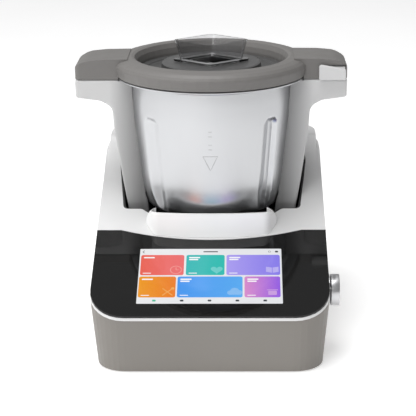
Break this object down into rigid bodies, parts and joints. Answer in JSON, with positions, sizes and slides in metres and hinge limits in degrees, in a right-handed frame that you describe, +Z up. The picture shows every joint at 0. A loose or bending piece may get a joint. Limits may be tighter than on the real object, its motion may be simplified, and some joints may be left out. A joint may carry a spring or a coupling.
{
  "type": "heated cooking blender",
  "caption": "Table-top heated cooking blender: tilted glass touch panel, round knob, lift-out steel bowl with blade, grips, latched lid and clear cup.",
  "frame": {"origin": "centre of the base's outline, on the surface that the feet stand on", "axes": "+X to the side with the round knob, -Y to the front with the glass panel, +Z up"},
  "size_m": [0.3046, 0.33, 0.319],
  "materials": {
    "taupe_plastic": "satin",
    "lid_grey_plastic": "satin",
    "white_plastic": "satin",
    "pale_grey_plastic": "satin",
    "dark_plastic": "fine texture",
    "black_glass": "polished",
    "screen": "lit display",
    "circuit_board": "lacquered",
    "brushed_steel": "brushed",
    "lamination_steel": "bare sheet",
    "heater_alloy": "cast",
    "knob_metal": "satin anodised",
    "silicone": "matte",
    "rubber": "matte",
    "smoke_plastic": "clear, smoke tint"
  },
  "bodies": {
    "base": {"lower_casing": "taupe_plastic", "base_plate": "lamination_steel", "upper_housing": "white_plastic", "front_collar": "white_plastic", "glass_panel": "black_glass", "touch_display": "screen", "display_board": "circuit_board", "seat_liner": "dark_plastic", "foot_front_left": "rubber", "foot_front_right": "rubber", "foot_rear_left": "rubber", "foot_rear_right": "rubber", "base_screw_front_left": "brushed_steel", "base_screw_front_right": "brushed_steel", "base_screw_rear_left": "brushed_steel", "base_screw_rear_right": "brushed_steel", "power_inlet": "dark_plastic", "switch_frame": "dark_plastic", "vent_grille": "dark_plastic", "motor_stator": "lamination_steel", "motor_cradle": "dark_plastic", "motor_cap": "dark_plastic", "lower_bearing": "brushed_steel", "upper_bearing": "brushed_steel", "drive_seal": "silicone", "power_board": "circuit_board", "speaker": "dark_plastic", "contact_socket": "dark_plastic", "knob_bezel": "knob_metal", "knob_encoder": "dark_plastic"},
    "rotor": {"motor_shaft": "brushed_steel", "rotor_core": "lamination_steel", "cooling_fan": "dark_plastic", "drive_coupling": "brushed_steel"},
    "bowl": {"steel_bowl": "brushed_steel", "handle_left": "pale_grey_plastic", "handle_right": "pale_grey_plastic", "bowl_foot": "dark_plastic", "heating_element": "heater_alloy", "contact_plug": "dark_plastic", "blade_bearing": "brushed_steel"},
    "lock_ring": {"blade_lock_ring": "dark_plastic"},
    "blade": {"blade_shaft": "brushed_steel", "blade_lower": "brushed_steel", "blade_upper": "brushed_steel", "blade_socket": "dark_plastic"},
    "lid": {"lid_ring": "lid_grey_plastic", "lid_plate": "dark_plastic", "lid_seal": "silicone", "latch_pin": "brushed_steel"},
    "latch": {"lid_latch": "pale_grey_plastic"},
    "cup": {"measuring_cup": "smoke_plastic"},
    "stem": {"knob_stem": "brushed_steel"},
    "knob": {"control_knob": "knob_metal"},
    "switch": {"power_switch": "dark_plastic"}
  },
  "joints": [
    {"name": "rotor_spin", "type": "hinge", "parent": "base", "child": "rotor", "pos_m": [0, 0.042, 0.05], "axis": [0, 0, 1], "continuous": true},
    {"name": "bowl_lift", "type": "slide", "parent": "base", "child": "bowl", "axis": [0, 0, 1], "range_m": [0, 0.1]},
    {"name": "blade_spin", "type": "hinge", "parent": "bowl", "child": "blade", "pos_m": [0, 0.042, 0.14], "axis": [0, 0, 1], "continuous": true},
    {"name": "lock_ring_turn", "type": "hinge", "parent": "bowl", "child": "lock_ring", "pos_m": [0, 0.042, 0.118], "axis": [0, 0, 1], "range_deg": [0, 30]},
    {"name": "lid_lift", "type": "slide", "parent": "bowl", "child": "lid", "axis": [0, 0, 1], "range_m": [0, 0.04]},
    {"name": "latch_turn", "type": "hinge", "parent": "lid", "child": "latch", "pos_m": [0.1354, 0.0165, 0.2905], "axis": [-1, 0, 0], "range_deg": [0, 11], "stiffness_Nm_per_rad": 0.02},
    {"name": "cup_lift", "type": "slide", "parent": "lid", "child": "cup", "axis": [0, 0, 1], "range_m": [0, 0.045]},
    {"name": "knob_push", "type": "slide", "parent": "base", "child": "stem", "axis": [-1, 0, 0], "range_m": [0, 0.001], "stiffness_N_per_m": 400},
    {"name": "knob_turn", "type": "hinge", "parent": "stem", "child": "knob", "pos_m": [0.13, -0.1, 0.0715], "axis": [1, 0, 0], "continuous": true},
    {"name": "switch_rock", "type": "hinge", "parent": "base", "child": "switch", "pos_m": [-0.073, 0.1582, 0.042], "axis": [1, 0, 0], "range_deg": [0, 12]}
  ],
  "couplings": [
    {"joint": "blade_spin", "follows": "rotor_spin", "ratio": 1}
  ]
}
